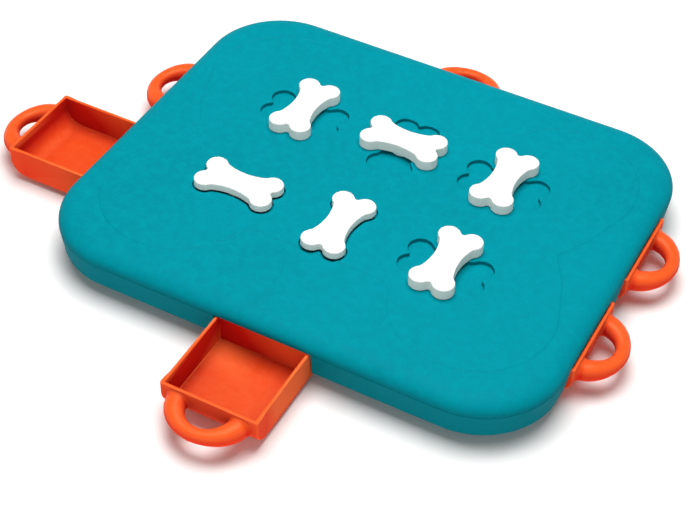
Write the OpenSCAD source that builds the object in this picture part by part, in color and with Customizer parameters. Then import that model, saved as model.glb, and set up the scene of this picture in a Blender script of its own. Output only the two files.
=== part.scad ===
// Puzzle feeder board for a dog: a two-part housing with six pull-out
// treat drawers, each held shut by a bone-shaped turning knob on top.
//
// Frame: origin on the surface the board stands on, under the middle of
// the housing. +X runs along the long side to the right end, +Y to the
// far long side, +Z up.

/* [Housing] */
// Length of the housing along X, mm
body_l = 400; // [396:1:404]
// Width of the housing along Y, mm
body_w = 330; // [327:1:333]
// Corner radius of the housing seen from above, mm
body_r = 63; // [60:1:66]
// Height of the lower edge of the housing wall above the floor, mm
skirt_z = 10; // [9:0.5:11]
// Height of the parting line between shell and tray, mm
seam_z = 30.6; // [30.4:0.1:31]
// Height of the rim of the top face, outside the raised figure, mm
top_z = 41.1; // [41:0.1:41.4]
// Rise of the large bone figure above the rim of the top face, mm
figure_h = 0.6; // [0.4:0.1:0.8]
// Radius of the rounded upper edge, mm
edge_r = 9; // [8:0.5:9.5]
// Wall thickness of the housing, mm
wall = 2.8; // [2.4:0.1:3]
// How far the tray's wall draws in at its lower edge, mm
draw_in = 2.5; // [2:0.1:3]
// How far the foot of the tray is set back from the wall, mm
foot_inset = 12; // [11.5:0.5:12]

/* [Drawers] */
// Outer width of a drawer bin, mm
bin_w = 75; // [74:0.5:75]
// Depth of a drawer from its back face to the housing's edge, mm
bin_d = 73; // [72:0.5:73]
// Height of the drawer's rim above the floor, mm
rim_z = 30; // [29.6:0.1:30]
// Height of the drawer's underside above the floor, mm
bin_z = 4.4; // [4.4:0.1:4.8]
// Wall thickness of a drawer, mm
bin_t = 2.4; // [2.2:0.1:2.6]
// Radius of the curve that joins front panel and floor, mm
nose_r = 16; // [15:0.5:16]
// How far the front panel stands proud of the housing when shut, mm
panel_out = 2.5; // [2:0.25:3]
// Travel of a drawer between its two stops, mm
travel = 68; // [66:0.5:68]
// Distance of the end drawers' centre lines from the X axis, mm
end_y = 50.6; // [50.4:0.1:51]
// Radius of the loop handle's bow, mm
grip_r = 5.4; // [5:0.1:5.6]
// Radius of the handle's legs where they meet the panel, mm
grip_root_r = 8.2; // [7.8:0.1:8.4]
// Height of the handle's centre line above the floor, mm
grip_z = 19.6; // [19.4:0.1:20]

/* [Knobs] */
// Thickness of the bone slab of a knob that rides on the top face, mm
slab_t = 8.6; // [8:0.1:9]
// Height of a seated knob's slab that shows above its recess, mm
seated_t = 5.9; // [5.5:0.1:6.4]
// Gap between the slab and the raised figure, mm
slab_gap = 0.4; // [0.3:0.05:0.5]
// Depth of the bone-shaped recesses below the raised figure, mm
recess_d = 2.7; // [2.4:0.1:2.8]
// Clearance of a recess round the bone's outline, mm
recess_gap = 1.1; // [0.9:0.1:1.3]
// Distance of the end drawers' knobs from the Y axis, mm
knob_x = 85.8; // [85:0.1:86.4]
// Distance of the middle knobs from the X axis, mm
knob_mid_y = 52.6; // [52:0.1:53]
// Radius of the spindle under a knob, mm
spindle_r = 6; // [5.5:0.25:6]
// Radial running clearance of the spindle in the shell, mm
spindle_gap = 0.06; // [0.04:0.01:0.08]

/* [Locks] */
// Length of a lock key from tip to tip, mm
key_l = 26; // [24:0.5:26]
// Width of a lock key, mm
key_w = 12; // [11.5:0.25:12]
// Thickness of a lock key, mm
key_t = 3; // [2.6:0.1:3]

/* [Feet and screws] */
// Radius of a rubber foot, mm
pad_r = 9.5; // [8:0.5:10]
// Height of a rubber foot, mm
pad_h = 2.2; // [2.2:0.1:2.4]
// Radius of a shell screw's shank, mm
screw_r = 1.45; // [1.3:0.05:1.45]

/* [Hidden] */

$fn = 96;
hx = body_l / 2;
hy = body_w / 2;
face_z = top_z + figure_h;          // top of the raised figure
under_z = top_z - wall;             // inner face of the shell's top
plate_z = 1.6;                      // underside of the tray's floor
plate_top = 4.0;                    // upper side of the tray's floor
recess_z = face_z - recess_d;       // floor of the bone recesses
pad_z = recess_z - 2.6;             // underside of the recess floors
boss_z = recess_z - 4.6;            // lower end of the spindle bosses
slab_z = face_z + slab_gap;         // underside of the bone slabs
key_top = boss_z - 0.4;
key_z = key_top - key_t;
washer_z = key_z - 0.7;
tail_top = rim_z - 1.0;             // upper face of a drawer's tail
tail_z = tail_top - 3.0;
lug_top = tail_top + 1.3;
lug_u = -121;                       // outer face of the tail's catches
tail_end = -126;
stop_u = lug_u + travel + 0.3;      // face of the shell's open stops
joint_z = 10.4;                     // where tray posts meet shell posts

// slot order: front, back, left_front, left_back, right_front, right_back
slot_x = [0, 0, -hx, -hx, hx, hx];
slot_y = [-hy, hy, -end_y, end_y, -end_y, end_y];
slot_a = [-90, 90, 180, 180, 0, 0];
slot_open = [travel, 0, travel, 0, 0, 0];
knob_px = [0, 0, -knob_x, -knob_x, knob_x, knob_x];
knob_py = [-knob_mid_y, knob_mid_y, -end_y, end_y, -end_y, end_y];
// direction of each bone's long side, and of its recess
knob_a = [90, 0, 0, 90, 90, 90];
recess_a = [90, 90, 0, 0, 0, 0];
knob_seated = [true, false, true, false, false, false];

posts = [for (sx = [-1, 1], sy = [-1, 1]) [sx * 62, sy * 128],
         for (sx = [-1, 1], sy = [-1, 1]) [sx * 160, sy * 108],
         for (sx = [-1, 1]) [sx * 146, 0],
         for (sx = [-1, 1]) [sx * 46, 0]];
pads = [[0, 0],
        for (sx = [-1, 1], sy = [-1, 1]) [sx * 112, sy * 128],
        for (sx = [-1, 1]) [sx * 176, 0]];

teal = [0.01, 0.62, 0.68];
teal_dark = [0.0, 0.45, 0.52];
orange = [0.95, 0.25, 0.10];
bone_white = [0.96, 0.97, 0.95];

// ---- outlines -----------------------------------------------------

// rounded rectangle with half sides ax, ay and corner radius r
module rr(ax, ay, r) {
  square([2 * ax, 2 * (ay - r)], center = true);
  square([2 * (ax - r), 2 * ay], center = true);
  for (sx = [-1, 1], sy = [-1, 1])
    translate([sx * (ax - r), sy * (ay - r)]) circle(r);
}

// bone outline, long side along x, grown by g all round
module bone2d(g = 0) {
  big = 45;
  for (sx = [-1, 1], sy = [-1, 1])
    translate([sx * 24, sy * 9]) circle(8.5 + g);
  difference() {
    square([2 * (28.4 + g), 2 * (13.4 + g)], center = true);
    for (sy = [-1, 1]) translate([0, sy * (10.2 + big)]) circle(big - g);
    for (sx = [-1, 1]) translate([sx * (30.6 + g), 0]) circle(2.6);
  }
}

// large bone figure that covers most of the top face. The fillets beside
// its waist overlap waist and lobes by a hair, so that no arcs only touch
module figure2d() {
  lx = 120; ly = 78; lr = 60; waist = 85; fr = 16; lap = 0.15;
  fy = waist + fr - lap;
  fx = lx - sqrt(pow(lr + fr - lap, 2) - pow(fy - ly, 2));
  n = [lx - fx, ly - fy] / (lr + fr - lap);      // from fillet centre to lobe centre
  for (sx = [-1, 1], sy = [-1, 1]) translate([sx * lx, sy * ly]) circle(lr);
  square([2 * lx, 2 * waist], center = true);
  for (mx = [0, 1], my = [0, 1]) mirror([mx, 0]) mirror([0, my]) difference() {
    polygon([[fx, waist - 6], [fx, waist - 0.3], [fx, fy] + n * (fr - 1), [fx, fy] + n * (fr + 8)]);
    translate([fx, fy]) circle(fr);
  }
  for (mx = [0, 1]) mirror([mx, 0])
    polygon([[lx, -ly], [lx + 59.5, -ly + 7], [lx + 46, -26], [lx + 34, -5], [lx + 31.5, 0],
             [lx + 34, 5], [lx + 46, 26], [lx + 59.5, ly - 7], [lx, ly]]);
}

// ---- profiles carried round the rounded rectangle -------------------
// the child is a 2D profile: x from the corner's axis outwards, y up
module ring(ax, ay, r) {
  cx = ax - r;
  cy = ay - r;
  for (i = [0:3])
    translate([(i == 0 || i == 3) ? cx : -cx, (i < 2) ? cy : -cy, 0])
      rotate([0, 0, 90 * i]) rotate_extrude(angle = 90) children();
  for (s = [0, 1]) rotate([0, 0, 180 * s]) {
    translate([cx, cy, 0]) rotate([90, 0, 0]) linear_extrude(2 * cy) children();
    translate([-cx, cy, 0]) rotate([90, 0, 90]) linear_extrude(2 * cx) children();
  }
}

module at_slot(i, open = false)
  translate([slot_x[i], slot_y[i], 0]) rotate([0, 0, slot_a[i]])
    translate([open ? slot_open[i] : 0, 0, 0]) children();

// block given by its low and high corner
module box(a, b) translate(a) cube(b - a);

// ---- top shell -----------------------------------------------------

module edge_profile(r, h, e) {
  square([r, h - e]);
  square([r - e, h]);
  intersection() {
    translate([r - e, h - e]) circle(e);
    translate([r - e - 1, h - e - 0.5]) square([e + 1, e + 0.5]);
  }
}

// thickened floor under one recess
module recess_pad(i) translate([knob_px[i], knob_py[i], pad_z]) rotate([0, 0, recess_a[i]])
  linear_extrude(under_z - pad_z + 0.5) bone2d(recess_gap + 2.4);

module top_shell() color(teal) {
  h = top_z - seam_z - 0.15;
  difference() {
    union() {
      // rounded side and top
      translate([0, 0, seam_z + 0.15]) {
        ring(hx, hy, body_r) difference() {
          edge_profile(body_r, h, edge_r);
          translate([0, -1]) edge_profile(body_r - wall, h - wall + 1, edge_r - wall);
        }
        translate([0, 0, h - wall])
          linear_extrude(wall) square([2 * (hx - body_r) + 0.02, 2 * (hy - body_r) + 0.02], center = true);
      }
      // raised figure
      translate([0, 0, top_z - 0.5]) linear_extrude(figure_h + 0.5) figure2d();
      // thickened floors under the recesses
      for (i = [0:5]) {
        recess_pad(i);
        translate([knob_px[i], knob_py[i], boss_z]) cylinder(r = 10, h = pad_z - boss_z + 0.5);
      }
    }
    for (i = [0:5]) translate([knob_px[i], knob_py[i], 0]) {
      rotate([0, 0, recess_a[i]]) translate([0, 0, recess_z]) linear_extrude(10) bone2d(recess_gap);
      translate([0, 0, boss_z - 1]) cylinder(r = spindle_r + spindle_gap, h = 8);
    }
  }
}

// screw posts, moulded in one with the shell
module shell_posts() color(teal_dark) for (p = posts) translate([p[0], p[1], joint_z]) difference() {
  cylinder(r = 4.5, h = under_z - joint_z);
  translate([0, 0, -1]) cylinder(r = 1.5, h = 19);
}

// guide ribs beside the drawers' tails and the stops that end their
// travel, moulded in one with the shell
module shell_guides() color(teal_dark) {
  for (i = [0:5]) difference() {
    at_slot(i) for (s = [-1, 1])
      box([-128, s > 0 ? 17.5 : -19.3, tail_z + 1], [-76, s > 0 ? 19.3 : -17.5, under_z]);
    recess_pad(i);
  }
  for (i = [0:5], s = [-1, 1]) at_slot(i)
    box([stop_u, s > 0 ? 9.5 : -14.5, tail_top + 0.3], [stop_u + 2.4, s > 0 ? 14.5 : -9.5, under_z]);
}

// ---- base tray -----------------------------------------------------

// The tray is one moulding. Its floor, its walls, its screw posts and the
// drawers' guides each have a module of their own and meet face to face

module tray_floor() color(teal_dark) difference() {
  translate([0, 0, plate_z]) linear_extrude(plate_top - plate_z)
    rr(hx - foot_inset - 0.05, hy - foot_inset - 0.05, body_r - foot_inset - 0.05);
  for (p = posts) translate([p[0], p[1], plate_z - 1]) cylinder(r = 4, h = 5);
  // sockets for the rubber feet
  for (p = pads) translate([p[0], p[1], plate_z - 1]) cylinder(r = pad_r + 0.05, h = 1.6);
}

// drawn in towards the rounded lower edge, then stepping back to the floor
module tray_walls() color(teal) difference() {
  ring(hx, hy, body_r) {
    polygon([[body_r - wall - 0.4, seam_z - 0.15], [body_r, seam_z - 0.15],
             [body_r - draw_in + 0.15, skirt_z + 1.6], [body_r - draw_in - wall - 0.4, skirt_z + 1.6]]);
    translate([body_r - draw_in - 1.45, skirt_z + 1.6]) circle(1.6);
    translate([body_r - foot_inset - 2.4, skirt_z]) square([foot_inset + 2.4 - draw_in - 1.45, 2.4]);
    translate([body_r - foot_inset - 2.4, plate_top]) square([2.4, skirt_z + 2.4 - plate_top]);
  }
  // drawer mouths
  for (i = [0:5]) at_slot(i)
    box([-foot_inset - 4, -bin_w / 2 - 1.4, plate_top - 1], [6, bin_w / 2 + 1.4, seam_z + 5]);
}

module tray_posts() color(teal_dark) for (p = posts) translate([p[0], p[1], plate_top]) difference() {
  cylinder(r = 6, h = joint_z - plate_top);
  translate([0, 0, -1]) cylinder(r = 4, h = 1.4);
  translate([0, 0, -1]) cylinder(r = 2, h = joint_z);
}

// guides along each drawer and the stop behind it
module tray_guides() color(teal_dark) for (i = [0:5]) at_slot(i) for (s = [-1, 1]) {
  g = bin_w / 2 + 0.4;
  box([-127.5, s > 0 ? g : -g - 2.2, plate_top], [-foot_inset - 2.5, s > 0 ? g + 2.2 : -g, 12]);
  box([-bin_d - 2.8, s > 0 ? 20 : -34, plate_top], [-bin_d - 0.4, s > 0 ? 34 : -20, 12]);
}

// ---- drawers ---------------------------------------------------------

// side profile of the bin: x outwards from the housing's edge, y up
module bin_profile(back, floor_z, front, top, r) {
  cx = panel_out - nose_r;
  cz = bin_z + nose_r;
  translate([back, floor_z]) square([cx - back, top - floor_z]);
  translate([cx, cz]) square([front - cx, top - cz]);
  translate([cx, cz]) intersection() {
    circle(r);
    translate([-1, -r - 1]) square([r + 2, r + 1.5]);
  }
}

module across(w) rotate([90, 0, 0]) linear_extrude(w, center = true) children();

// loop handle, in the plane z = 0, standing out along +x: an arc that
// grows thicker in steps towards its two roots in the panel
module grip() {
  bow_r = 25;
  bow_x = -2.2;
  mid_r = (grip_r + grip_root_r) / 2;
  translate([bow_x, 0, 0]) {
    rotate([0, 0, -60]) rotate_extrude(angle = 120) translate([bow_r, 0]) circle(grip_r);
    for (a = [44, -88]) rotate([0, 0, a]) rotate_extrude(angle = 44) translate([bow_r, 0]) circle(mid_r - 0.4);
    for (a = [62, -88]) rotate([0, 0, a]) rotate_extrude(angle = 26) translate([bow_r, 0]) circle(grip_root_r - 0.4);
  }
}

module drawer(i) at_slot(i, true) color(orange) {
  difference() {
    union() {
      across(bin_w) bin_profile(-bin_d, bin_z, panel_out, rim_z, nose_r);
      // front end, a little wider
      across(bin_w + 1.4) intersection() {
        bin_profile(-bin_d, bin_z, panel_out, rim_z, nose_r);
        translate([panel_out - 6, 0]) square([10, 60]);
      }
      translate([0, 0, grip_z]) grip();
    }
    across(bin_w - 2 * bin_t)
      bin_profile(-bin_d + 2, bin_z + bin_t, panel_out - bin_t, rim_z + 5, nose_r - bin_t);
    // lowered middle of the back wall
    box([-bin_d - 1, -17, tail_top], [-bin_d + 3, 17, rim_z + 5]);
  }
  // tail with its fork and catches
  difference() {
    box([tail_end, -17, tail_z], [-bin_d + 0.5, 17, tail_top]);
    box([tail_end - 1, -11, tail_z - 1], [-104, 11, tail_top + 1]);
    translate([-104, 0, tail_z - 1]) cylinder(r = 11, h = 5);
  }
  for (s = [-1, 1]) {
    box([tail_end, s > 0 ? 9.5 : -14.5, tail_z], [lug_u, s > 0 ? 14.5 : -9.5, lug_top]);
    box([-100, s > 0 ? 15 : -17, tail_z - 6], [-bin_d + 0.5, s > 0 ? 17 : -15, tail_z + 0.5]);
    // runners
    box([tail_end, s > 0 ? bin_w / 2 - bin_t : -bin_w / 2, bin_z],
        [-bin_d + 0.5, s > 0 ? bin_w / 2 : -bin_w / 2 + bin_t, 13]);
  }
}

// ---- knobs and locks --------------------------------------------------

module knob(i) translate([knob_px[i], knob_py[i], 0]) rotate([0, 0, knob_a[i]]) color(bone_white) {
  t = knob_seated[i] ? seated_t : slab_t;
  difference() {
    union() {
      translate([0, 0, slab_z]) linear_extrude(t - 0.9) bone2d();
      translate([0, 0, slab_z + 1]) linear_extrude(t - 1.4) bone2d(-0.25);
      translate([0, 0, slab_z + 1]) linear_extrude(t - 1) bone2d(-0.8);
      translate([0, 0, recess_z + 0.3]) cylinder(r = 9, h = slab_z - recess_z);
      translate([0, 0, key_top]) cylinder(r = spindle_r, h = recess_z - key_top + 1);
      translate([0, 0, (key_z + key_top) / 2 + 0.5]) cube([7.6, 7.6, key_t + 1], center = true);
    }
    translate([0, 0, key_z - 1]) cylinder(r = 1.3, h = 10);
  }
}

module lock_key(i) translate([knob_px[i], knob_py[i], key_z]) rotate([0, 0, knob_a[i]]) color("gainsboro")
  linear_extrude(key_t) difference() {
    union() {
      circle(8);
      square([key_l - key_w, key_w], center = true);
      for (s = [-1, 1]) translate([s * (key_l - key_w) / 2, 0]) circle(key_w / 2);
    }
    square([7.8, 7.8], center = true);
  }

module key_washer(i) translate([knob_px[i], knob_py[i], washer_z]) color("silver")
  linear_extrude(key_z - washer_z) difference() { circle(5.2); circle(1.6); }

module key_screw(i) translate([knob_px[i], knob_py[i], washer_z]) color("silver") {
  cylinder(r = 1.25, h = 8.5);
  difference() {
    translate([0, 0, -2]) cylinder(r = 3.3, h = 2);
    for (a = [0, 90]) rotate([0, 0, a]) box([-2, -0.4, -3], [2, 0.4, -1]);
  }
}

// ---- screws and feet ----------------------------------------------------

module shell_screws() color("silver")
  for (p = posts) translate([p[0], p[1], plate_z + 2.8]) {
    cylinder(r = screw_r, h = 20);
    difference() {
      translate([0, 0, -2.2]) cylinder(r = 3.4, h = 2.2);
      for (a = [0, 90]) rotate([0, 0, a]) box([-2.2, -0.45, -3], [2.2, 0.45, -1.1]);
    }
  }

module rubber_feet() color("dimgray")
  for (p = pads) translate([p[0], p[1], 0]) {
    cylinder(r = pad_r, h = pad_h);
  }

top_shell();
shell_posts();
shell_guides();
tray_floor();
tray_walls();
tray_posts();
tray_guides();
drawer(0);  // drawer_front
drawer(1);  // drawer_back
drawer(2);  // drawer_left_front
drawer(3);  // drawer_left_back
drawer(4);  // drawer_right_front
drawer(5);  // drawer_right_back
knob(0);  // knob_front
knob(1);  // knob_back
knob(2);  // knob_left_front
knob(3);  // knob_left_back
knob(4);  // knob_right_front
knob(5);  // knob_right_back
lock_key(0);  // lock_key_front
lock_key(1);  // lock_key_back
lock_key(2);  // lock_key_left_front
lock_key(3);  // lock_key_left_back
lock_key(4);  // lock_key_right_front
lock_key(5);  // lock_key_right_back
key_washer(0);  // key_washer_front
key_washer(1);  // key_washer_back
key_washer(2);  // key_washer_left_front
key_washer(3);  // key_washer_left_back
key_washer(4);  // key_washer_right_front
key_washer(5);  // key_washer_right_back
key_screw(0);  // key_screw_front
key_screw(1);  // key_screw_back
key_screw(2);  // key_screw_left_front
key_screw(3);  // key_screw_left_back
key_screw(4);  // key_screw_right_front
key_screw(5);  // key_screw_right_back
shell_screws();
rubber_feet();
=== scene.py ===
"""The looks of the drawer puzzle board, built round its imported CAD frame."""

import math

import bmesh
import bpy
import numpy as np
from mathutils import Matrix, Vector
from mathutils.geometry import delaunay_2d_cdt


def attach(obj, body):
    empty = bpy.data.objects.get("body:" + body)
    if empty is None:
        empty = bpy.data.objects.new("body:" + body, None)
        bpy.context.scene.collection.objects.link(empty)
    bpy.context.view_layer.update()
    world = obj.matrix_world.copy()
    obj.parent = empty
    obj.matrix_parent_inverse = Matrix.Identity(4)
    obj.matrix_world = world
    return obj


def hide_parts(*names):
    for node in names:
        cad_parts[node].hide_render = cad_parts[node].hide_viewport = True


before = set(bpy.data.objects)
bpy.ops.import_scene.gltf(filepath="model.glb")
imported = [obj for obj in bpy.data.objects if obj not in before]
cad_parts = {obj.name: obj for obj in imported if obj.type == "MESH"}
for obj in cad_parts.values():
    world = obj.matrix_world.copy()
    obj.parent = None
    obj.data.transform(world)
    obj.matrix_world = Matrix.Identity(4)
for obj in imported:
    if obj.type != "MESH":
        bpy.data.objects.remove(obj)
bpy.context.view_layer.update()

# ---------------------------------------------------------------- sizes, mm
HX, HY, RC = 200.0, 165.0, 63.0
SKIRT, SEAM, TOP, FACE = 10.0, 30.6, 41.1, 41.7
EDGE, WALL, DRAW, INSET = 9.0, 2.8, 2.5, 12.0
SOFT, FALL = 16.0, 9.5  # the upper edge rounds over this far in and this far down
UNDER = TOP - WALL
PLATE, PLATE_TOP = 1.6, 4.0
RECESS = 39.0
SUNK = RECESS - 0.5  # where the look puts the recess floor
PAD = RECESS - 2.6
BOSS = RECESS - 4.6
SLAB = FACE + 0.4
KEY_TOP = BOSS - 0.4
KEY = KEY_TOP - 3.0
RIM, BIN_Z, BIN_T, NOSE, OUT = 30.0, 4.4, 2.4, 16.0, 2.5
BIN_W, BIN_D = 75.0, 73.0
GRIP_Z = 19.6
TRAVEL = 68.0
END_Y = 50.6
JOINT = 10.4

NAMES = ["front", "back", "left_front", "left_back", "right_front", "right_back"]
SLOT = {
    "front": (0, -HY, -90, TRAVEL), "back": (0, HY, 90, 0),
    "left_front": (-HX, -END_Y, 180, TRAVEL), "left_back": (-HX, END_Y, 180, 0),
    "right_front": (HX, -END_Y, 0, 0), "right_back": (HX, END_Y, 0, 0),
}
KNOB = {  # x, y, bone's direction, recess direction, seated
    "front": (0, -52.6, 90, 90, True), "back": (0, 52.6, 0, 90, False),
    "left_front": (-85.8, -END_Y, 0, 0, True), "left_back": (-85.8, END_Y, 90, 0, False),
    "right_front": (85.8, -END_Y, 90, 0, False), "right_back": (85.8, END_Y, 90, 0, False),
}
POSTS = ([(sx * 62, sy * 128) for sx in (-1, 1) for sy in (-1, 1)]
         + [(sx * 160, sy * 108) for sx in (-1, 1) for sy in (-1, 1)]
         + [(sx * 146, 0) for sx in (-1, 1)] + [(sx * 46, 0) for sx in (-1, 1)])
PADS = [(0, 0)] + [(sx * 112, sy * 128) for sx in (-1, 1) for sy in (-1, 1)] + [(-176, 0), (176, 0)]


# ---------------------------------------------------------------- mesh tools
class Piece:
    """Vertices in mm and faces of one piece while it is being made."""

    def __init__(self):
        self.v, self.f = [], []

    def add(self, points):
        first = len(self.v)
        self.v.extend(tuple(float(x) for x in p) for p in points)
        return list(range(first, len(self.v)))

    def strip(self, rows, closed=True, flip=False):
        """Quads between rows of vertex numbers of one length."""
        for a, b in zip(rows[:-1], rows[1:]):
            n = len(a)
            for i in range(n if closed else n - 1):
                j = (i + 1) % n
                q = (a[i], a[j], b[j], b[i])
                self.f.append(q[::-1] if flip else q)

    def fill(self, loops, axes=(0, 1), flip=False, step=0.0):
        """A flat face: the first loop is its edge and the others its holes."""
        co, ids, edges = [], [], []
        for lp in loops:
            s, n = len(co), len(lp)
            for k in lp:
                co.append(Vector((self.v[k][axes[0]], self.v[k][axes[1]])))
                ids.append(k)
            edges += [(s + i, s + (i + 1) % n) for i in range(n)]
        if step:
            w = [a for a in range(3) if a not in axes][0]
            level = self.v[loops[0][0]][w]
            segs = [(np.array(co[a]), np.array(co[b])) for a, b in edges]
            p0 = np.array([s[0] for s in segs])
            d = np.array([s[1] - s[0] for s in segs])
            lo, hi = np.array(co).min(0), np.array(co).max(0)
            gx = np.arange(lo[0] + step / 2, hi[0], step)
            gy = np.arange(lo[1] + step / 2, hi[1], step)
            for a in gx:
                for b in gy:
                    q = np.array([a, b])
                    t = np.clip(((q - p0) * d).sum(1) / np.maximum((d * d).sum(1), 1e-12), 0, 1)
                    near = np.sqrt((((p0 + d * t[:, None]) - q) ** 2).sum(1).min())
                    if near < step * 0.45:
                        continue
                    inside = ((p0[:, 1] > b) != (p0[:, 1] + d[:, 1] > b)) & (
                        a < d[:, 0] * (b - p0[:, 1]) / np.where(abs(d[:, 1]) < 1e-12, 1e-12, d[:, 1]) + p0[:, 0])
                    if inside.sum() % 2 == 0:
                        continue
                    point = [0.0, 0.0, 0.0]
                    point[axes[0]], point[axes[1]], point[w] = a, b, level
                    ids.append(self.add([point])[0])
                    co.append(Vector((a, b)))
        _, _, faces, origin, _, _ = delaunay_2d_cdt(co, edges, [], 2, 1e-7)
        for t in faces:
            tri = tuple(ids[origin[k][0]] for k in t)
            self.f.append(tri[::-1] if flip else tri)

    def lathe(self, x, y, profile, n=48, flip=False):
        """Turns (radius, z) points round the upright axis at x, y. A radius of 0 at an end closes it."""
        a = np.linspace(0, 2 * math.pi, n, endpoint=False)
        rows = []
        for r, z in profile:
            if r > 1e-9:
                rows.append(self.add(np.c_[x + r * np.cos(a), y + r * np.sin(a), np.full(n, z)]))
            else:
                rows.append(self.add([(x, y, z)]) * n)
        for p, q in zip(rows[:-1], rows[1:]):
            for i in range(n):
                j = (i + 1) % n
                f = [p[i], p[j], q[j], q[i]]
                f = [k for m, k in enumerate(f) if k != f[m - 1]]
                if len(f) > 2:
                    self.f.append(tuple(f[::-1] if flip else f))
        return rows

    def block(self, lo, hi, r=0.4, place=None):
        """A box with rounded edges; place maps its points."""
        bm = bmesh.new()
        bmesh.ops.create_cube(bm, size=1.0)
        lo, hi = np.minimum(lo, hi), np.maximum(lo, hi)
        for v in bm.verts:
            v.co = Vector((lo + (np.array(v.co) + 0.5) * (hi - lo)).tolist())
        bmesh.ops.bevel(bm, geom=bm.edges[:], offset=r, segments=2, profile=0.5, affect="EDGES")
        self.take(bm, place)

    def take(self, bm, place=None):
        bm.verts.index_update()
        pts = [tuple(v.co) for v in bm.verts]
        if place is not None:
            pts = [place(p) for p in pts]
        ids = self.add(pts)
        for f in bm.faces:
            self.f.append(tuple(ids[v.index] for v in f.verts))
        bm.free()

    def make(self, name, angle=35.0, weighted=True):
        me = bpy.data.meshes.new(name)
        me.from_pydata([(x * 0.001, y * 0.001, z * 0.001) for x, y, z in self.v], [], self.f)
        me.validate()
        me.shade_smooth()
        me.set_sharp_from_angle(angle=math.radians(angle))
        me.update()
        o = bpy.data.objects.new(name, me)
        bpy.context.scene.collection.objects.link(o)
        if weighted:
            m = o.modifiers.new("normals", "WEIGHTED_NORMAL")
            m.keep_sharp = True
            m.weight = 70
        return o


def turn(x, y, deg, shift=0.0):
    """Maps a slot's own frame (outwards, across, up) to the row frame."""
    c, s = math.cos(math.radians(deg)), math.sin(math.radians(deg))

    def place(p):
        u = p[0] + shift
        return (x + c * u - s * p[1], y + s * u + c * p[1], p[2])

    return place


def arc(cx, cy, r, a0, a1, n, out=1.0):
    """Points and outward normals on an arc, from angle a0 to a1 in degrees; out is -1 on a hollow arc."""
    t = np.radians(np.linspace(a0, a1, n + 1))
    d = np.c_[np.cos(t), np.sin(t)]
    return np.c_[cx, cy] + r * d, out * d


def circle_meet(a, ra, b, rb, side):
    """The point at distances ra from a and rb from b."""
    a, b = np.array(a, float), np.array(b, float)
    d = b - a
    n = np.linalg.norm(d)
    x = (n * n + ra * ra - rb * rb) / (2 * n)
    h = math.sqrt(max(ra * ra - x * x, 0.0))
    return a + x * d / n + side * h * np.array([-d[1], d[0]]) / n


def ang(v):
    return math.degrees(math.atan2(v[1], v[0]))


def bone_quarter(plain=False):
    """First quarter of the bone's outline, from its end round the lobe to its waist."""
    lobe, r = np.array([24.0, 9.0]), 8.5
    rc = 2.4
    cleft = np.array([24.0 + math.sqrt((r + rc) ** 2 - 81.0), 0.0])
    waist, big, rf = 10.2, 45.0, 7.0
    w = np.array([0.0, waist + big])
    f = circle_meet(lobe, r + rf, w, big - rf, 1)
    other = circle_meet(lobe, r + rf, w, big - rf, -1)
    if other[0] < f[0] and other[1] > 9:
        f = other
    parts = [
        arc(*cleft, rc, 180, ang(lobe - cleft), 5, -1),
        arc(*lobe, r, ang(cleft - lobe), ang(f - lobe), 22),
        arc(*f, rf, ang(lobe - f), ang(f - w), 8, -1),
        arc(*w, big, ang(f - w), -90, 12, -1),
    ]
    if plain:  # straight end instead of the cleft
        parts[:2] = [(np.array([[24 + r, 0.0], [24 + r, 4.5]]), np.array([[1.0, 0.0], [1.0, 0.0]])),
                     arc(*lobe, r, 0, ang(f - lobe), 22)]
    return parts


def joined(parts):
    p = np.vstack([a[0] for a in parts])
    n = np.vstack([a[1] for a in parts])
    keep = [0] + [i for i in range(1, len(p)) if np.linalg.norm(p[i] - p[i - 1]) > 1e-6]
    return p[keep], n[keep]


def mirrored(p, n):
    """The whole outline from its first quarter, which runs from the x axis to the y axis."""
    fx, fy, fb = np.array([-1, 1.0]), np.array([1, -1.0]), np.array([-1, -1.0])
    pts = np.vstack([p, (p[::-1] * fx)[1:], (p * fb)[1:], (p[::-1] * fy)[1:-1]])
    nor = np.vstack([n, (n[::-1] * fx)[1:], (n * fb)[1:], (n[::-1] * fy)[1:-1]])
    return pts, nor / np.linalg.norm(nor, axis=1)[:, None]


BONE_P, BONE_N = mirrored(*joined(bone_quarter()))
PLAIN_P, PLAIN_N = mirrored(*joined(bone_quarter(True)))


def bone(x, y, deg, grow, plain=False):
    c, s = math.cos(math.radians(deg)), math.sin(math.radians(deg))
    p = PLAIN_P + grow * PLAIN_N if plain else BONE_P + grow * BONE_N
    return np.c_[x + c * p[:, 0] - s * p[:, 1], y + s * p[:, 0] + c * p[:, 1]]


def numeric_normals(p):
    t = np.roll(p, -1, 0) - np.roll(p, 1, 0)
    n = np.c_[t[:, 1], -t[:, 0]]
    return n / np.linalg.norm(n, axis=1)[:, None]


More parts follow.
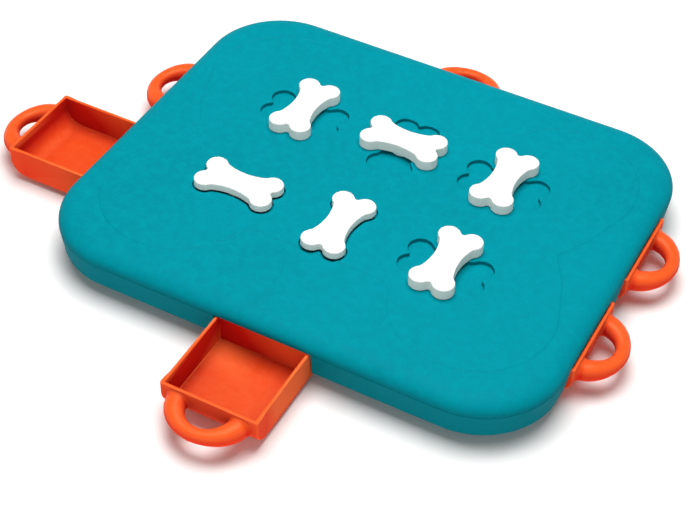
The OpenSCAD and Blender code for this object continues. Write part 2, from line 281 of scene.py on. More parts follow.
def figure_outline():
    """The large bone figure's outline, evenly spaced and a little softened."""
    fr, waist = 16.0, 85.0
    fx = 120 - math.sqrt((60 + fr) ** 2 - (waist + fr - 78) ** 2)
    f, lobe = np.array([fx, waist + fr]), np.array([120.0, 78.0])
    end = np.array([[151.0, 0.0], [151.6, 1.6], [153.2, 4.2], [158.6, 13.6], [165.3, 25.0]])
    parts = [
        (end, end),
        arc(*lobe, 60, -17.9, ang(f - lobe), 60),
        arc(*f, fr, ang(lobe - f), -90, 14, -1),
        (np.array([[fx * 0.5, waist], [0.0, waist]]),) * 2,
    ]
    p, _ = joined(parts)
    fx_, fy_, fb_ = np.array([-1, 1.0]), np.array([1, -1.0]), np.array([-1, -1.0])
    p = np.vstack([p, (p[::-1] * fx_)[1:], (p * fb_)[1:], (p[::-1] * fy_)[1:-1]])
    q = np.vstack([p, p[:1]])
    s = np.r_[0, np.cumsum(np.linalg.norm(np.diff(q, axis=0), axis=1))]
    n = 720
    u = np.linspace(0, s[-1], n, endpoint=False)
    p = np.c_[np.interp(u, s, q[:, 0]), np.interp(u, s, q[:, 1])]
    k = np.exp(-0.5 * (np.arange(-6, 7) * (s[-1] / n) / 2.2) ** 2)
    k /= k.sum()
    soft = sum(w * np.roll(p, i, 0) for i, w in zip(range(-6, 7), k))
    return soft, numeric_normals(soft)


FIG_P, FIG_N = figure_outline()
STEP = 1.05  # half the width of the soft step round the figure


def rise(p):
    """Height of the top face above its rim: 0 outside the figure, full inside, with a soft step between."""
    out = []
    for q in np.atleast_2d(p):
        k = int(np.argmin(((FIG_P - q) ** 2).sum(1)))
        t = min(max((STEP - float(np.dot(q - FIG_P[k], FIG_N[k]))) / (2 * STEP), 0.0), 1.0)
        out.append((FACE - TOP) * (3 * t * t - 2 * t ** 3))
    return np.array(out)


def inside(poly, x, y):
    a, b = poly, np.roll(poly, -1, 0)
    hit = ((a[:, 1] > y) != (b[:, 1] > y)) & (
        x < (b[:, 0] - a[:, 0]) * (y - a[:, 1]) / np.where(abs(b[:, 1] - a[:, 1]) < 1e-12, 1e-12, b[:, 1] - a[:, 1]) + a[:, 0])
    return hit.sum() % 2 == 1


def round_rect(d, n=28, m=18, cuts=None):
    """Outline of the housing at inset d, anticlockwise from the right side's lower end."""
    cx, cy, r = HX - RC, HY - RC, RC - d
    pts = []
    for i, (sx, sy) in enumerate(((1, 1), (-1, 1), (-1, -1), (1, -1))):
        a = np.radians(90 * i + np.linspace(0, 90, n + 1))
        corner = np.c_[sx * cx + r * np.cos(a), sy * cy + r * np.sin(a)]
        pts.append(corner)
    out = []
    for i in range(4):
        a, b = pts[i - 1][-1], pts[i][0]
        t = np.linspace(0, 1, m + 1)[1:-1, None]
        out.append(a + (b - a) * t)
        out.append(pts[i])
    return np.vstack(out)


def at(p, z):
    return np.c_[p, np.full(len(p), float(z))]


# ---------------------------------------------------------------- top shell
def top_face(P, rim, holes):
    """The face between the rim and the recesses, with the figure's soft step and points spread over it."""
    co = [Vector((P.v[k][0], P.v[k][1])) for k in rim]
    ids, edges = list(rim), [(i, (i + 1) % len(rim)) for i in range(len(rim))]
    for loop, _ in holes:
        s = len(co)
        co += [Vector((P.v[k][0], P.v[k][1])) for k in loop]
        ids += loop
        edges += [(s + i, s + (i + 1) % len(loop)) for i in range(len(loop))]
    for off in np.linspace(STEP, -STEP, 7):
        s = len(co)
        line = (FIG_P + FIG_N * off)[::2]
        co += [Vector(q) for q in line.tolist()]
        ids += [None] * len(line)
        edges += [(s + i, s + (i + 1) % len(line)) for i in range(len(line))]
    for a in np.arange(-178.5, 179, 8.5):
        for b in np.arange(-144.5, 145, 8.5):
            k = int(np.argmin(((FIG_P - (a, b)) ** 2).sum(1)))
            if np.linalg.norm(FIG_P[k] - (a, b)) < 5:
                continue
            if min(float(((e - (a, b)) ** 2).sum(1).min()) for _, e in holes) < 16:
                continue
            if abs(a) > HX - RC and abs(b) > HY - RC and math.hypot(abs(a) - HX + RC, abs(b) - HY + RC) > RC - SOFT - 3:
                continue
            co.append(Vector((a, b)))
            ids.append(None)
    out, _, faces, origin, _, _ = delaunay_2d_cdt(co, edges, [], 1, 1e-6)
    lookup = {}
    for f in faces:
        c = sum((out[k] for k in f), Vector((0, 0))) / 3
        if any(inside(e, c[0], c[1]) for _, e in holes):
            continue
        tri = []
        for k in f:
            src = [ids[o] for o in origin[k] if ids[o] is not None]
            if k not in lookup:
                x, y = out[k]
                lookup[k] = src[0] if src else P.add([(x, y, TOP + rise((x, y))[0])])[0]
            tri.append(lookup[k])
        P.f.append(tuple(tri))


def top_shell():
    P = Piece()
    fold = np.linspace(0, 90, 15)
    rows = []
    for a in np.radians(fold):
        rows.append(P.add(at(round_rect(SOFT * (1 - math.sin(a))), TOP - FALL * (1 - math.cos(a)))))
    low = SEAM + 0.15
    for d, z in ((0, 31.4), (0, low + 0.35), (0.1, low + 0.1), (0.35, low), (1.4, low), (2.45, low),
                 (2.7, low + 0.1), (WALL, low + 0.35), (WALL, TOP - EDGE)):
        rows.append(P.add(at(round_rect(d), z)))
    for a in np.radians(fold[::-1][2::2]):
        rows.append(P.add(at(round_rect(WALL + (EDGE - WALL) * (1 - math.sin(a))),
                             UNDER - (EDGE - WALL) * (1 - math.cos(a)))))
    P.strip(rows, flip=True)
    # recesses with rounded lips, and what is under them
    holes, bores, pads = [], [], []
    circ = np.linspace(0, 2 * math.pi, 48, endpoint=False)

    def ring(x, y, r, z):
        return P.add(np.c_[x + r * np.cos(circ), y + r * np.sin(circ), np.full(48, float(z))])

    for n in NAMES:
        x, y, _, ra, _ = KNOB[n]
        g, lip, foot = 1.1, 0.5, 0.35
        walls = []
        edge = bone(x, y, ra, g + lip)
        up = TOP + rise(edge)
        for a in np.radians(np.linspace(0, 90, 6)):
            walls.append(P.add(np.c_[bone(x, y, ra, g + lip * (1 - math.sin(a))), up - lip * (1 - math.cos(a))]))
        for a in np.radians(np.linspace(0, 90, 5)):
            walls.append(P.add(at(bone(x, y, ra, g - 0.1 - foot * (1 - math.cos(a))), SUNK + foot * (1 - math.sin(a)))))
        P.strip(walls, flip=True)
        bore = [ring(x, y, 6.36, SUNK), ring(x, y, 6.12, SUNK - 0.25), ring(x, y, 6.06, BOSS),
                ring(x, y, 9.7, BOSS), ring(x, y, 10, BOSS + 0.3), ring(x, y, 10, PAD)]
        P.strip(bore, flip=True)
        P.fill([walls[-1], bore[0]])
        pad = [P.add(at(bone(x, y, ra, g + 2.4, True), z)) for z in (PAD, UNDER)]
        P.fill([pad[0], bore[-1]], flip=True)
        P.strip(pad)
        holes.append((walls[0], edge))
        pads.append(pad[1])
    top_face(P, rows[0], holes)
    posts = []
    for x, y in POSTS:
        rows_p = [ring(x, y, 4.5, UNDER), ring(x, y, 4.5, JOINT + 0.3), ring(x, y, 4.2, JOINT), ring(x, y, 1.5, JOINT),
                  ring(x, y, 1.5, JOINT + 18)]
        P.strip(rows_p)
        P.fill([rows_p[-1]], flip=True)
        posts.append(rows_p[0])
    P.fill([rows[-1]] + pads + posts, flip=True)
    # guide ribs beside the tails, and the open stops
    for n in NAMES:
        x, y, deg, _ = SLOT[n]
        for s in (-1, 1):
            P.block(np.array([-128, s * 17.5, 27.0]), np.array([-76, s * 19.3, UNDER + 0.4]), 0.25, turn(x, y, deg))
            P.block(np.array([-52.7, s * 9.5, 29.3]), np.array([-50.3, s * 14.5, UNDER + 0.4]), 0.25, turn(x, y, deg))
    return P.make("shell_skin", 38)


# ---------------------------------------------------------------- base tray
def wall_profile():
    """Section of the tray's wall as (inset, z), anticlockwise seen with the inside on the left."""
    top, lip_z, lip_d, lip_r = SEAM - 0.15, SKIRT + 1.6, DRAW + 1.45, 1.6
    p = [(2.9, top), (0.35, top), (0.1, top - 0.1), (0.0, top - 0.35)]
    for t in np.linspace(0.15, 0.92, 5):
        p.append((t * (DRAW - 0.2), top - t * (top - lip_z)))
    for a in np.radians(np.linspace(0, 90, 8)):
        p.append((lip_d - lip_r * math.cos(a), lip_z - lip_r * math.sin(a)))
    p += [(11.6, SKIRT), (11.9, SKIRT - 0.1), (12.0, SKIRT - 0.4), (12.0, 1.9), (12.3, 1.6), (14.1, 1.6), (14.4, 1.9),
          (14.4, 12.0), (14.0, 12.4), (6.3, 12.4), (5.8, 12.7), (5.6, 13.2), (3.2, top - 0.3), (3.1, top - 0.1)]
    return p


def wall_piece(P, start, end):
    """Sweeps the wall's section between two points of the housing's outline, with its ends closed."""
    ring0 = round_rect(0.0, 28, 60)
    n = len(ring0)
    i0 = int(np.argmin(((ring0 - start) ** 2).sum(1)))
    i1 = int(np.argmin(((ring0 - end) ** 2).sum(1)))
    run = [(i0 + k) % n for k in range(((i1 - i0) % n) + 1)]
    rows = []
    for d, z in wall_profile():
        full = round_rect(d, 28, 60)[run].copy()
        for e, target in ((0, start), (-1, end)):
            if abs(abs(target[0]) - HX) < 1e-6:
                full[e] = (full[e][0], target[1])
            else:
                full[e] = (target[0], full[e][1])
        rows.append(P.add(at(full, z)))
    rows.append(rows[0])
    P.strip(rows, closed=False, flip=True)
    for e, flip in ((0, True), (-1, False)):
        loop = [r[e] for r in rows[:-1]]
        target = start if e == 0 else end
        axes = (1, 2) if abs(abs(target[1]) - HY) < 1e-6 else (0, 2)
        P.fill([loop], axes=axes)
        k = len(P.f)
        tri = P.f[-1]
        a, b, c = (np.array(P.v[i]) for i in tri)
        normal = np.cross(b - a, c - a)
        along = np.array([*(np.array(end, float) - np.array(start, float)), 0.0])
        nxt = np.array(P.v[rows[0][1 if e == 0 else -2]]) - np.array(P.v[rows[0][e]])
        if np.dot(normal, nxt) > 0:  # faces must look away from the wall
            first = k - (len(loop) - 2)
            for q in range(first, k):
                P.f[q] = P.f[q][::-1]


def base_tray():
    P = Piece()
    m = BIN_W / 2 + 1.4
    e0, e1 = END_Y - m, END_Y + m
    spans = [((HX, -e0), (HX, e0)), ((HX, e1), (m, HY)), ((-m, HY), (-HX, e1)), ((-HX, e0), (-HX, -e0)),
             ((-HX, -e1), (-m, -HY)), ((m, -HY), (HX, -e1))]
    for a, b in spans:
        wall_piece(P, np.array(a, float), np.array(b, float))
    # floor plate with screw seats, posts and foot sockets
    d = INSET + 0.05
    edge = [P.add(at(round_rect(q), z)) for q, z in
            ((d + 0.5, PLATE), (d + 0.15, PLATE + 0.15), (d, PLATE + 0.5), (d, PLATE_TOP - 0.3), (d + 0.3, PLATE_TOP))]
    P.strip(edge)
    circ = np.linspace(0, 2 * math.pi, 40, endpoint=False)

    def ring(x, y, r, z):
        return P.add(np.c_[x + r * np.cos(circ), y + r * np.sin(circ), np.full(40, float(z))])

    low, high = [], []
    for x, y in POSTS:
        r = [ring(x, y, 4.25, PLATE), ring(x, y, 4, PLATE + 0.25), ring(x, y, 4, 4.4), ring(x, y, 2, 4.4),
             ring(x, y, 2, JOINT), ring(x, y, 5.7, JOINT), ring(x, y, 6, JOINT - 0.3), ring(x, y, 6, PLATE_TOP)]
        P.strip(r)
        low.append(r[0])
        high.append(r[-1])
    for x, y in PADS:
        r = [ring(x, y, 9.85, PLATE), ring(x, y, 9.55, PLATE + 0.2), ring(x, y, 9.55, 2.2)]
        P.strip(r)
        P.fill([r[-1]], flip=True)
        low.append(r[0])
    P.fill([edge[0]] + low, flip=True, step=14.0)
    P.fill([edge[-1]] + high, step=14.0)
    for n in NAMES:
        x, y, deg, _ = SLOT[n]
        g = BIN_W / 2 + 0.4
        for s in (-1, 1):
            P.block(np.array([-127.5, s * g, PLATE_TOP - 0.4]), np.array([-16.2, s * (g + 2.2), 12.0]), 0.3, turn(x, y, deg))
            P.block(np.array([-75.8, s * 20, PLATE_TOP - 0.4]), np.array([-73.4, s * 34, 12.0]), 0.3, turn(x, y, deg))
    return P.make("tray_skin", 38)


# ---------------------------------------------------------------- drawers
def bevelled(bm, offset, segments, limit=30.0):
    sharp = [e for e in bm.edges if len(e.link_faces) == 2 and e.calc_face_angle(0) > math.radians(limit)]
    bmesh.ops.bevel(bm, geom=sharp, offset=offset, segments=segments, profile=0.5, affect="EDGES", clamp_overlap=True)


def bin_section(back, floor, front, top, r, n=14):
    cx, cz = OUT - NOSE, BIN_Z + NOSE
    p = [(back, floor), (cx, floor)]
    for a in np.radians(np.linspace(-90, 0, n + 1))[1:]:
        p.append((cx + r * math.cos(a), cz + r * math.sin(a)))
    p.append((front, top))
    p.append((back, top))
    return p


def drawer_mesh():
    """One drawer in its slot's frame: x outwards from the housing's edge, y across, z up, in mm."""
    P = Piece()
    bm = bmesh.new()
    w0, w1 = BIN_W / 2, BIN_W / 2 - BIN_T
    cx, cz = OUT - NOSE, BIN_Z + NOSE
    splits = (-10.0, -3.5)  # the sides flare a little between these
    low = sorted([(cx + NOSE * math.cos(t), cz + NOSE * math.sin(t)) for t in np.radians(np.linspace(-90, 0, 15))]
                 + [(u, cz - math.sqrt(NOSE ** 2 - (u - cx) ** 2)) for u in splits], key=lambda q: (q[0], q[1]))
    low = [(-BIN_D, BIN_Z)] + [q for k, q in enumerate(low) if k == 0 or math.dist(q, low[k - 1]) > 0.45 or q[0] in splits
                               or q[0] > OUT - 1e-6]

    def half(u):
        return w0 + 0.7 * min(max((u - splits[0]) / (splits[1] - splits[0]), 0.0), 1.0)

    tops = [-BIN_D, *splits, OUT]
    vl = {s: [bm.verts.new((u, s * half(u), z)) for u, z in low] for s in (-1, 1)}
    vt = {s: [bm.verts.new((u, s * half(u), RIM)) for u in tops] for s in (-1, 1)}
    inner = bin_section(-BIN_D + 2, BIN_Z + BIN_T, OUT - BIN_T, RIM, NOSE - BIN_T)
    vi = {s: [bm.verts.new((u, s * w1, z)) for u, z in inner] for s in (-1, 1)}
    n, last = len(inner), len(low) - 1
    cut = [0] + [k for k, q in enumerate(low) if q[0] in splits] + [last]
    for k in range(last):  # underside and nose
        bm.faces.new((vl[1][k], vl[1][k + 1], vl[-1][k + 1], vl[-1][k]))
    bm.faces.new((vl[1][last], vt[1][3], vt[-1][3], vl[-1][last]))
    bm.faces.new((vl[1][0], vt[1][0], vt[-1][0], vl[-1][0]))
    for k in range(n - 2):
        bm.faces.new((vi[-1][k], vi[-1][k + 1], vi[1][k + 1], vi[1][k]))
    bm.faces.new((vi[-1][n - 1], vi[-1][0], vi[1][0], vi[1][n - 1]))
    for s in (-1, 1):
        for k in range(3):
            bm.faces.new(vl[s][cut[k]:cut[k + 1] + 1] + [vt[s][k + 1], vt[s][k]])
        bm.faces.new(vi[s])
        bm.faces.new(vt[s] + [vi[s][n - 2], vi[s][n - 1]])
    bm.faces.new((vt[-1][3], vi[-1][n - 2], vi[1][n - 2], vt[1][3]))
    bm.faces.new((vt[1][0], vi[1][n - 1], vi[-1][n - 1], vt[-1][0]))
    bmesh.ops.recalc_face_normals(bm, faces=bm.faces[:])
    chain = [bm.edges.get((v[k], v[k + 1])) for v in vl.values() for k in range(last)]
    chain += [bm.edges.get((vl[s][last], vt[s][3])) for s in (-1, 1)]
    bmesh.ops.bevel(bm, geom=chain, offset=1.7, segments=5, profile=0.5, affect="EDGES", clamp_overlap=True)
    bevelled(bm, 0.5, 3)
    P.take(bm)
    # loop handle: a bow that thickens to its roots and blends into the panel
    def panel_u(z):
        cz = BIN_Z + NOSE
        return OUT if z >= cz else OUT - NOSE + math.sqrt(max(NOSE ** 2 - (cz - z) ** 2, 0.0))

    bow_r, bow_x, ring_n = 25.0, -2.2, 32
    rows = []
    for a in np.linspace(-86.0, 86.0, 87):
        c, s = math.cos(math.radians(a)), math.sin(math.radians(a))
        t = min(max((abs(a) - 8.0) / 66.0, 0.0), 1.0)
        t = t * t * (3 - 2 * t)
        lateral, upright = 5.3 + 2.3 * t, 5.0 + 2.2 * t  # half width in plan, half height
        ring_pts = []
        for b in np.linspace(0, 2 * math.pi, ring_n, endpoint=False):
            cb, sb = math.cos(b), math.sin(b)
            k = (abs(cb) ** 2.25 + abs(sb) ** 2.25) ** (-1 / 2.25)  # a slightly squared section
            u = bow_x + (bow_r + lateral * k * cb) * c
            w = (bow_r + lateral * k * cb) * s
            z = GRIP_Z + upright * k * sb
            gap = u - panel_u(z)
            if gap < 3.4 and abs(a) > 40:
                e = 1.7 * (1 - max(gap, 0.0) / 3.4) ** 2.2
                w += e * cb * s
                z += e * sb * (1 if sb < 0 else 0.8)
            ring_pts.append((max(u, panel_u(z) - 1.1), w, z))
        rows.append(P.add(ring_pts))
    P.strip(rows, flip=True)
    P.f.append(tuple(rows[0]))
    P.f.append(tuple(rows[-1][::-1]))
    # tail with its fork, catches, ribs and runners
    tail_top, tail_z = RIM - 1, RIM - 4
    bm = bmesh.new()
    plan = [(-BIN_D + 1.2, -17), (-BIN_D + 1.2, 17), (-126, 17), (-126, 11), (-104, 11)]
    for a in np.radians(np.linspace(90, -90, 13))[1:-1]:
        plan.append((-104 + 11 * math.cos(a), 11 * math.sin(a)))
    plan += [(-104, -11), (-126, -11), (-126, -17)]
    lo = [bm.verts.new((u, w, tail_z)) for u, w in plan]
    hi = [bm.verts.new((u, w, tail_top)) for u, w in plan]
    m = len(plan)
    for k in range(m):
        bm.faces.new((lo[k], lo[(k + 1) % m], hi[(k + 1) % m], hi[k]))
    bm.faces.new(lo)
    bm.faces.new(hi)
    bmesh.ops.recalc_face_normals(bm, faces=bm.faces[:])
    bevelled(bm, 0.3, 2)
    P.take(bm)
    for s in (-1, 1):
        P.block(np.array([-126, s * 9.5 if s > 0 else -14.5, tail_z]), np.array([-121, 14.5 if s > 0 else -9.5, tail_top + 1.3]), 0.3)
        P.block(np.array([-100, s * 15, tail_z - 6]), np.array([-BIN_D + 1, s * 17, tail_z + 0.4]), 0.3)
        P.block(np.array([-126, s * (w0 - BIN_T), BIN_Z]), np.array([-BIN_D + 1, s * w0, 13]), 0.4)
    return P


# ---------------------------------------------------------------- knobs
def knob_mesh(seated):
    """A bone knob about its own axis, long side along x, in mm."""
    P = Piece()
    t = 5.9 if seated else 8.6
    r, r2 = 0.85, 0.4
    rows = []
    for a in np.radians(np.linspace(0, 90, 5)):  # lower edge
        rows.append(P.add(at(bone(0, 0, 0, -r2 * (1 - math.sin(a))), SLAB + r2 * (1 - math.cos(a)))))
    rows.append(P.add(at(bone(0, 0, 0, -0.05), SLAB + t * 0.5)))
    for a in np.radians(np.linspace(0, 90, 8)):  # upper edge
        rows.append(P.add(at(bone(0, 0, 0, -0.12 - r * (1 - math.cos(a))), SLAB + t - r * (1 - math.sin(a)))))
    P.strip(rows)
    P.fill([rows[-1]], step=4.0)
    circ = np.linspace(0, 2 * math.pi, 48, endpoint=False)

    def ring(rad, z):
        return P.add(np.c_[rad * np.cos(circ), rad * np.sin(circ), np.full(48, float(z))])

    stem = [ring(9, SLAB), ring(9, RECESS + 0.6), ring(8.7, RECESS + 0.3), ring(6, RECESS + 0.3), ring(6, KEY_TOP + 0.3), ring(5.7, KEY_TOP)]
    P.strip(stem, flip=True)
    P.fill([rows[0], stem[0]], flip=True)
    P.fill([stem[-1]], flip=True)
    P.block(np.array([-3.8, -3.8, KEY]), np.array([3.8, 3.8, KEY_TOP + 1]), 0.3)
    return P


# ---------------------------------------------------------------- feet
def feet():
    P = Piece()
    for x, y in PADS:
        P.lathe(x, y, [(0, 2.2), (9.35, 2.2), (9.5, 2.05), (9.5, 0.45), (9.35, 0.15), (9.0, 0.0), (7.2, 0.0), (6.9, 0.12),
                       (6.6, 0.35), (0, 0.35)], 56, flip=True)
    return P.make("feet_rubber", 40)


# ---------------------------------------------------------------- materials
def nodes_of(name):
    m = bpy.data.materials.new(name)
    m.use_nodes = True
    nt = m.node_tree
    nt.nodes.clear()
    out = nt.nodes.new("ShaderNodeOutputMaterial")
    bsdf = nt.nodes.new("ShaderNodeBsdfPrincipled")
    nt.links.new(bsdf.outputs[0], out.inputs[0])
    return m, nt, bsdf


def noise(nt, coord, scale, detail=4.0, rough=0.55, distort=0.0):
    n = nt.nodes.new("ShaderNodeTexNoise")
    n.inputs["Scale"].default_value = scale
    n.inputs["Detail"].default_value = detail
    n.inputs["Roughness"].default_value = rough
    n.inputs["Distortion"].default_value = distort
    nt.links.new(coord, n.inputs["Vector"])
    return n.outputs[0]


def ramp(nt, value, stops):
    r = nt.nodes.new("ShaderNodeValToRGB")
    while len(r.color_ramp.elements) > len(stops):
        r.color_ramp.elements.remove(r.color_ramp.elements[-1])
    while len(r.color_ramp.elements) < len(stops):
        r.color_ramp.elements.new(0.5)
    for e, (p, c) in zip(r.color_ramp.elements, stops):
        e.position = p
        e.color = (*c, 1.0) if hasattr(c, "__len__") else (c, c, c, 1.0)
    nt.links.new(value, r.inputs[0])
    return r.outputs[0]


def mix(nt, fac, a, b, kind="MIX"):
    m = nt.nodes.new("ShaderNodeMix")
    m.data_type = "RGBA"
    m.blend_type = kind
    for sock, val in ((m.inputs["Factor"], fac), (m.inputs["A"], a), (m.inputs["B"], b)):
        if isinstance(val, bpy.types.NodeSocket):
            nt.links.new(val, sock)
        elif hasattr(val, "__len__"):
            sock.default_value = (*val, 1.0)
        elif sock.type == "RGBA":
            sock.default_value = (val, val, val, 1.0)
        else:
            sock.default_value = val
    return m.outputs["Result"]


def bump(nt, height, strength, distance, normal=None):
    b = nt.nodes.new("ShaderNodeBump")
    b.inputs["Strength"].default_value = strength
    b.inputs["Distance"].default_value = distance
    nt.links.new(height, b.inputs["Height"])
    if normal is not None:
        nt.links.new(normal, b.inputs["Normal"])
    return b.outputs[0]


def plastic(name, colour, deep, light, grain=900.0, grain_depth=0.00012, rough=(0.42, 0.6), specks=0.0,
            spec=0.35, edge=0.25, mottle=0.5, upright=None, level=0.85, hollow=None, tint=None):
    """Moulded plastic: slow tone drift, fine spark-eroded grain, small specks, lighter edges that are partly rubbed
    wear and partly painted highlight, and where asked painted light and shade on upright faces and painted shade in the
    piece's hollows.
    """
    m, nt, b = nodes_of(name)
    tc = nt.nodes.new("ShaderNodeTexCoord").outputs["Object"]
    slow = noise(nt, tc, 9.0, 3.0, 0.5)
    mid = noise(nt, tc, 160.0, 3.0, 0.6, 0.4)
    fine = noise(nt, tc, grain, 2.0, 0.6)
    col = mix(nt, ramp(nt, slow, [(0.35, 0.0), (0.65, 1.0)]), deep, colour)
    col = mix(nt, ramp(nt, mid, [(0.4, 0.0), (0.68, mottle)]), col, light)
    if upright is not None:  # painted light and shade: upright faces are blended to a second colour, darker sides on the teal and orange and lighter sides on the white
        up = nt.nodes.new("ShaderNodeSeparateXYZ")
        nt.links.new(nt.nodes.new("ShaderNodeTexCoord").outputs["Normal"], up.inputs[0])
        col = mix(nt, ramp(nt, up.outputs["Z"], [(0.1, 1.0), (level, 0.0)]), col, upright)
    if hollow is not None:  # painted shade: where the piece's own ambient occlusion finds a hollow, such as inside a drawer, the colour is multiplied darker and redder
        ao = nt.nodes.new("ShaderNodeAmbientOcclusion")
        ao.only_local = True
        ao.samples = 4
        ao.inputs["Distance"].default_value = 0.05
        col = mix(nt, ramp(nt, ao.outputs["AO"], [(0.25, 1.0), (0.97, 0.0)]), col, hollow, "MULTIPLY")
    if specks:
        v = nt.nodes.new("ShaderNodeTexVoronoi")
        v.inputs["Scale"].default_value = 520.0
        v.inputs["Randomness"].default_value = 1.0
        nt.links.new(tc, v.inputs["Vector"])
        dots = ramp(nt, v.outputs["Distance"], [(0.0, specks), (0.16, specks * 0.5), (0.3, 0.0)])
        pick = ramp(nt, noise(nt, tc, 300.0, 1.0), [(0.5, 0.0), (0.62, 1.0)])
        col = mix(nt, mix(nt, 1.0, dots, pick, "MULTIPLY"), col, light)
    # painted highlight and wear: edges found by pointiness are mixed towards the lighter colour, partly rubbed wear and
    # partly a painted highlight on rims
    geo = nt.nodes.new("ShaderNodeNewGeometry")
    worn_and_highlit = ramp(nt, geo.outputs["Pointiness"], [(0.505, 0.0), (0.56, edge)])
    col = mix(nt, worn_and_highlit, col, light)
    nt.links.new(col, b.inputs["Base Color"])
    r = nt.nodes.new("ShaderNodeMapRange")
    r.inputs["From Min"].default_value, r.inputs["From Max"].default_value = 0.3, 0.7
    r.inputs["To Min"].default_value, r.inputs["To Max"].default_value = rough
    nt.links.new(mid, r.inputs["Value"])
    gloss = r.outputs[0]
    if tint is not None:  # drafted upright faces come out of the mould duller than the tops
        gloss = mix(nt, ramp(nt, up.outputs["Z"], [(0.15, 1.0), (0.6, 0.0)]), gloss, 0.95)
    nt.links.new(gloss, b.inputs["Roughness"])
    b.inputs["Specular IOR Level"].default_value = spec
    if tint is not None:
        b.inputs["Specular Tint"].default_value = (*tint, 1.0)
    h = mix(nt, 0.35, fine, mid)
    nt.links.new(bump(nt, h, 1.0, grain_depth), b.inputs["Normal"])
    return m


def metal(name):
    m, nt, b = nodes_of(name)
    tc = nt.nodes.new("ShaderNodeTexCoord").outputs["Object"]
    n = noise(nt, tc, 700.0, 4.0, 0.6)
    nt.links.new(ramp(nt, n, [(0.3, (0.42, 0.42, 0.43)), (0.7, (0.6, 0.6, 0.61))]), b.inputs["Base Color"])
    b.inputs["Metallic"].default_value = 1.0
    nt.links.new(ramp(nt, n, [(0.3, 0.28), (0.7, 0.46)]), b.inputs["Roughness"])
    nt.links.new(bump(nt, n, 0.6, 0.00005), b.inputs["Normal"])
    return m


def rubber(name):
    m, nt, b = nodes_of(name)
    tc = nt.nodes.new("ShaderNodeTexCoord").outputs["Object"]
    n = noise(nt, tc, 420.0, 5.0, 0.65)
    nt.links.new(ramp(nt, n, [(0.3, (0.02, 0.022, 0.022)), (0.75, (0.05, 0.052, 0.052))]), b.inputs["Base Color"])
    nt.links.new(ramp(nt, n, [(0.3, 0.62), (0.7, 0.85)]), b.inputs["Roughness"])
    nt.links.new(bump(nt, n, 1.0, 0.00012), b.inputs["Normal"])
    return m


# the teal's darker upright colour is painted shade on the walls and edge roundings
TEAL = plastic("teal_plastic", (0.0, 0.256, 0.322), (0.0, 0.236, 0.298), (0.0, 0.315, 0.385), grain=760.0,
               grain_depth=0.00024, rough=(0.5, 0.66), specks=0.9, spec=0.02, edge=0.1, mottle=0.42,
               upright=(0.0, 0.190, 0.237), level=0.97)
# the orange's deeper red upright colour and its hollow colour are painted shade; its strong edge mix paints highlights
# on the rims
ORANGE = plastic("orange_plastic", (0.94, 0.100, 0.013), (0.90, 0.085, 0.011), (0.99, 0.19, 0.05), grain=800.0,
                 grain_depth=0.00005, rough=(0.30, 0.40), spec=0.26, tint=(1.0, 0.65, 0.35), edge=0.7, mottle=0.2, upright=(0.87, 0.024, 0.008),
                 hollow=(0.46, 0.17, 0.8))
# the white's lighter, warmer upright colour is painted light on the bones' sides
WHITE = plastic("white_plastic", (0.86, 0.865, 0.85), (0.83, 0.835, 0.82), (0.91, 0.91, 0.90), grain=900.0,
                grain_depth=0.00005, rough=(0.42, 0.55), spec=0.3, edge=0.2, mottle=0.3, upright=(0.97, 0.93, 0.86))
KEY_MAT = plastic("key_plastic", (0.62, 0.62, 0.60), (0.56, 0.56, 0.55), (0.7, 0.7, 0.69), grain=900.0,
                  grain_depth=0.00006, rough=(0.5, 0.65), spec=0.4, edge=0.2)
STEEL = metal("zinc_steel")
RUBBER = rubber("foot_rubber")


def dress(o, mat):
    o.data.materials.clear()
    o.data.materials.append(mat)
    return o


def put(o, mat, body, slot, *nodes):
    dress(o, mat)
    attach(o, body)
    if nodes:
        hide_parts(*nodes)
    return o


put(top_shell(), TEAL, "housing", "housing_plastic", "top_shell", "shell_posts", "shell_guides")
put(base_tray(), TEAL, "housing", "housing_plastic", "tray_floor", "tray_walls", "tray_posts", "tray_guides")
put(feet(), RUBBER, "housing", "foot_rubber", "rubber_feet")

drawer = drawer_mesh()
for n in NAMES:
    x, y, deg, shift = SLOT[n]
    place = turn(x, y, deg, shift)
    p = Piece()
    p.v, p.f = [place(v) for v in drawer.v], drawer.f
    put(p.make("drawer_skin_" + n, 34), ORANGE, "tray_" + n, "drawer_plastic", "drawer_" + n)

knobs = {s: knob_mesh(s) for s in (False, True)}
for n in NAMES:
    x, y, deg, _, seated = KNOB[n]
    place = turn(x, y, deg)
    p = Piece()
    p.v, p.f = [place(v) for v in knobs[seated].v], knobs[seated].f
    put(p.make("bone_skin_" + n, 34), WHITE, "bone_" + n, "knob_plastic", "knob_" + n)
    dress(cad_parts["lock_key_" + n], KEY_MAT)
    dress(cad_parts["key_washer_" + n], STEEL)
    dress(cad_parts["key_screw_" + n], STEEL)
dress(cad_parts["shell_screws"], STEEL)

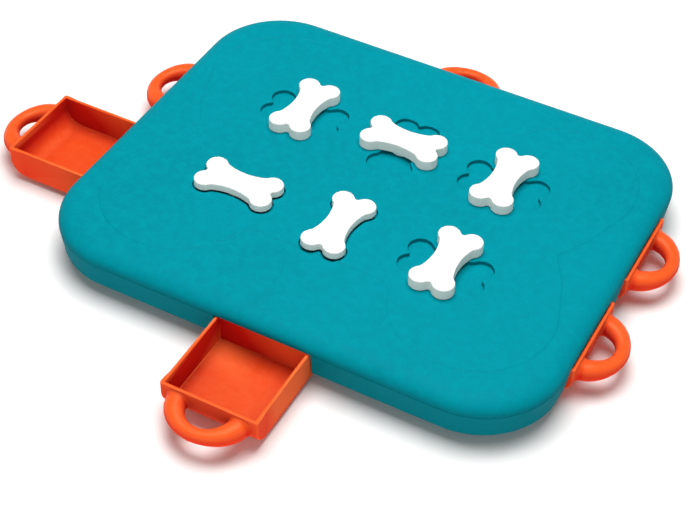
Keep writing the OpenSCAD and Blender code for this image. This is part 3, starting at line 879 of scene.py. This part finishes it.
# ---------------------------------------------------------------- stage
scene = bpy.context.scene
scene.view_settings.view_transform = "Standard"
scene.view_settings.look = "None"
bpy.ops.mesh.primitive_plane_add(size=8.0, location=(0, 0, 0))
floor = bpy.context.object
floor.name = "floor"
m, nt, b = nodes_of("floor_paper")
tc = nt.nodes.new("ShaderNodeTexCoord").outputs["Object"]
paper = noise(nt, tc, 3.0, 2.0)
nt.links.new(ramp(nt, paper, [(0.3, (0.965, 0.965, 0.96)), (0.7, (0.975, 0.975, 0.97))]), b.inputs["Base Color"])
b.inputs["Roughness"].default_value = 0.9
b.inputs["Specular IOR Level"].default_value = 0.1
far = nt.nodes.new("ShaderNodeVectorMath")  # the paper sweep stays pale far from the lamp
far.operation = "LENGTH"
nt.links.new(tc, far.inputs[0])
glow = nt.nodes.new("ShaderNodeMapRange")
glow.inputs["From Min"].default_value, glow.inputs["From Max"].default_value = 0.75, 2.2
glow.inputs["To Min"].default_value, glow.inputs["To Max"].default_value = 0.0, 0.72
nt.links.new(far.outputs["Value"], glow.inputs["Value"])
b.inputs["Emission Color"].default_value = (1.0, 0.99, 0.975, 1.0)
nt.links.new(glow.outputs[0], b.inputs["Emission Strength"])
dress(floor, m)

world = bpy.data.worlds.new("studio")
scene.world = world
world.use_nodes = True
wn = world.node_tree
bg = wn.nodes["Background"]
sky = wn.nodes.new("ShaderNodeSeparateXYZ")
wn.links.new(wn.nodes.new("ShaderNodeTexCoord").outputs["Generated"], sky.inputs[0])
wn.links.new(ramp(wn, sky.outputs["Z"], [(0.0, (1.0, 0.99, 0.97)), (0.08, (0.94, 0.93, 0.90)), (0.22, (0.32, 0.31, 0.29)),
                                      (0.9, (0.13, 0.126, 0.12))]), bg.inputs[0])
bg.inputs[1].default_value = 0.9


def area(name, loc, target, size, power, colour=(1, 1, 1)):
    d = bpy.data.lights.new(name, "AREA")
    d.shape = "RECTANGLE"
    d.size, d.size_y = size
    d.energy = power
    d.color = colour
    o = bpy.data.objects.new(name, d)
    scene.collection.objects.link(o)
    o.location = loc
    v = Vector(target) - Vector(loc)
    o.rotation_euler = v.to_track_quat("-Z", "Y").to_euler()
    return o


area("key", (-0.05, 0.12, 1.4), (-0.05, 0.10, 0), (1.0, 1.0), 24.5, (1.0, 1.0, 1.0))
area("fill", (0.22, -1.08, 0.42), (0.0, -0.1, 0.03), (0.6, 0.4), 1.6, (1.0, 0.98, 0.95))

# ---------------------------------------------------------------- camera
R = Matrix(((0.8826503775915198, 0.46911480985596626, 0.029319040082305986),
            (0.3452120785561384, -0.604664166281176, -0.7177812109789725),
            (-0.318993623379054, 0.6436711436667721, -0.6956511532759875)))
cam_data = bpy.data.cameras.new("camera")
cam = bpy.data.objects.new("camera", cam_data)
scene.collection.objects.link(cam)
cam_data.sensor_fit = "HORIZONTAL"
cam_data.sensor_width = 36.0
cam_data.lens = 84.2395
cam_data.clip_start, cam_data.clip_end = 0.05, 50.0
look = R.transposed() @ Matrix(((1, 0, 0), (0, -1, 0), (0, 0, -1)))
cam.matrix_world = Matrix.Translation((0.39776326, -0.83422785, 0.85639577)) @ look.to_4x4()
scene.camera = cam
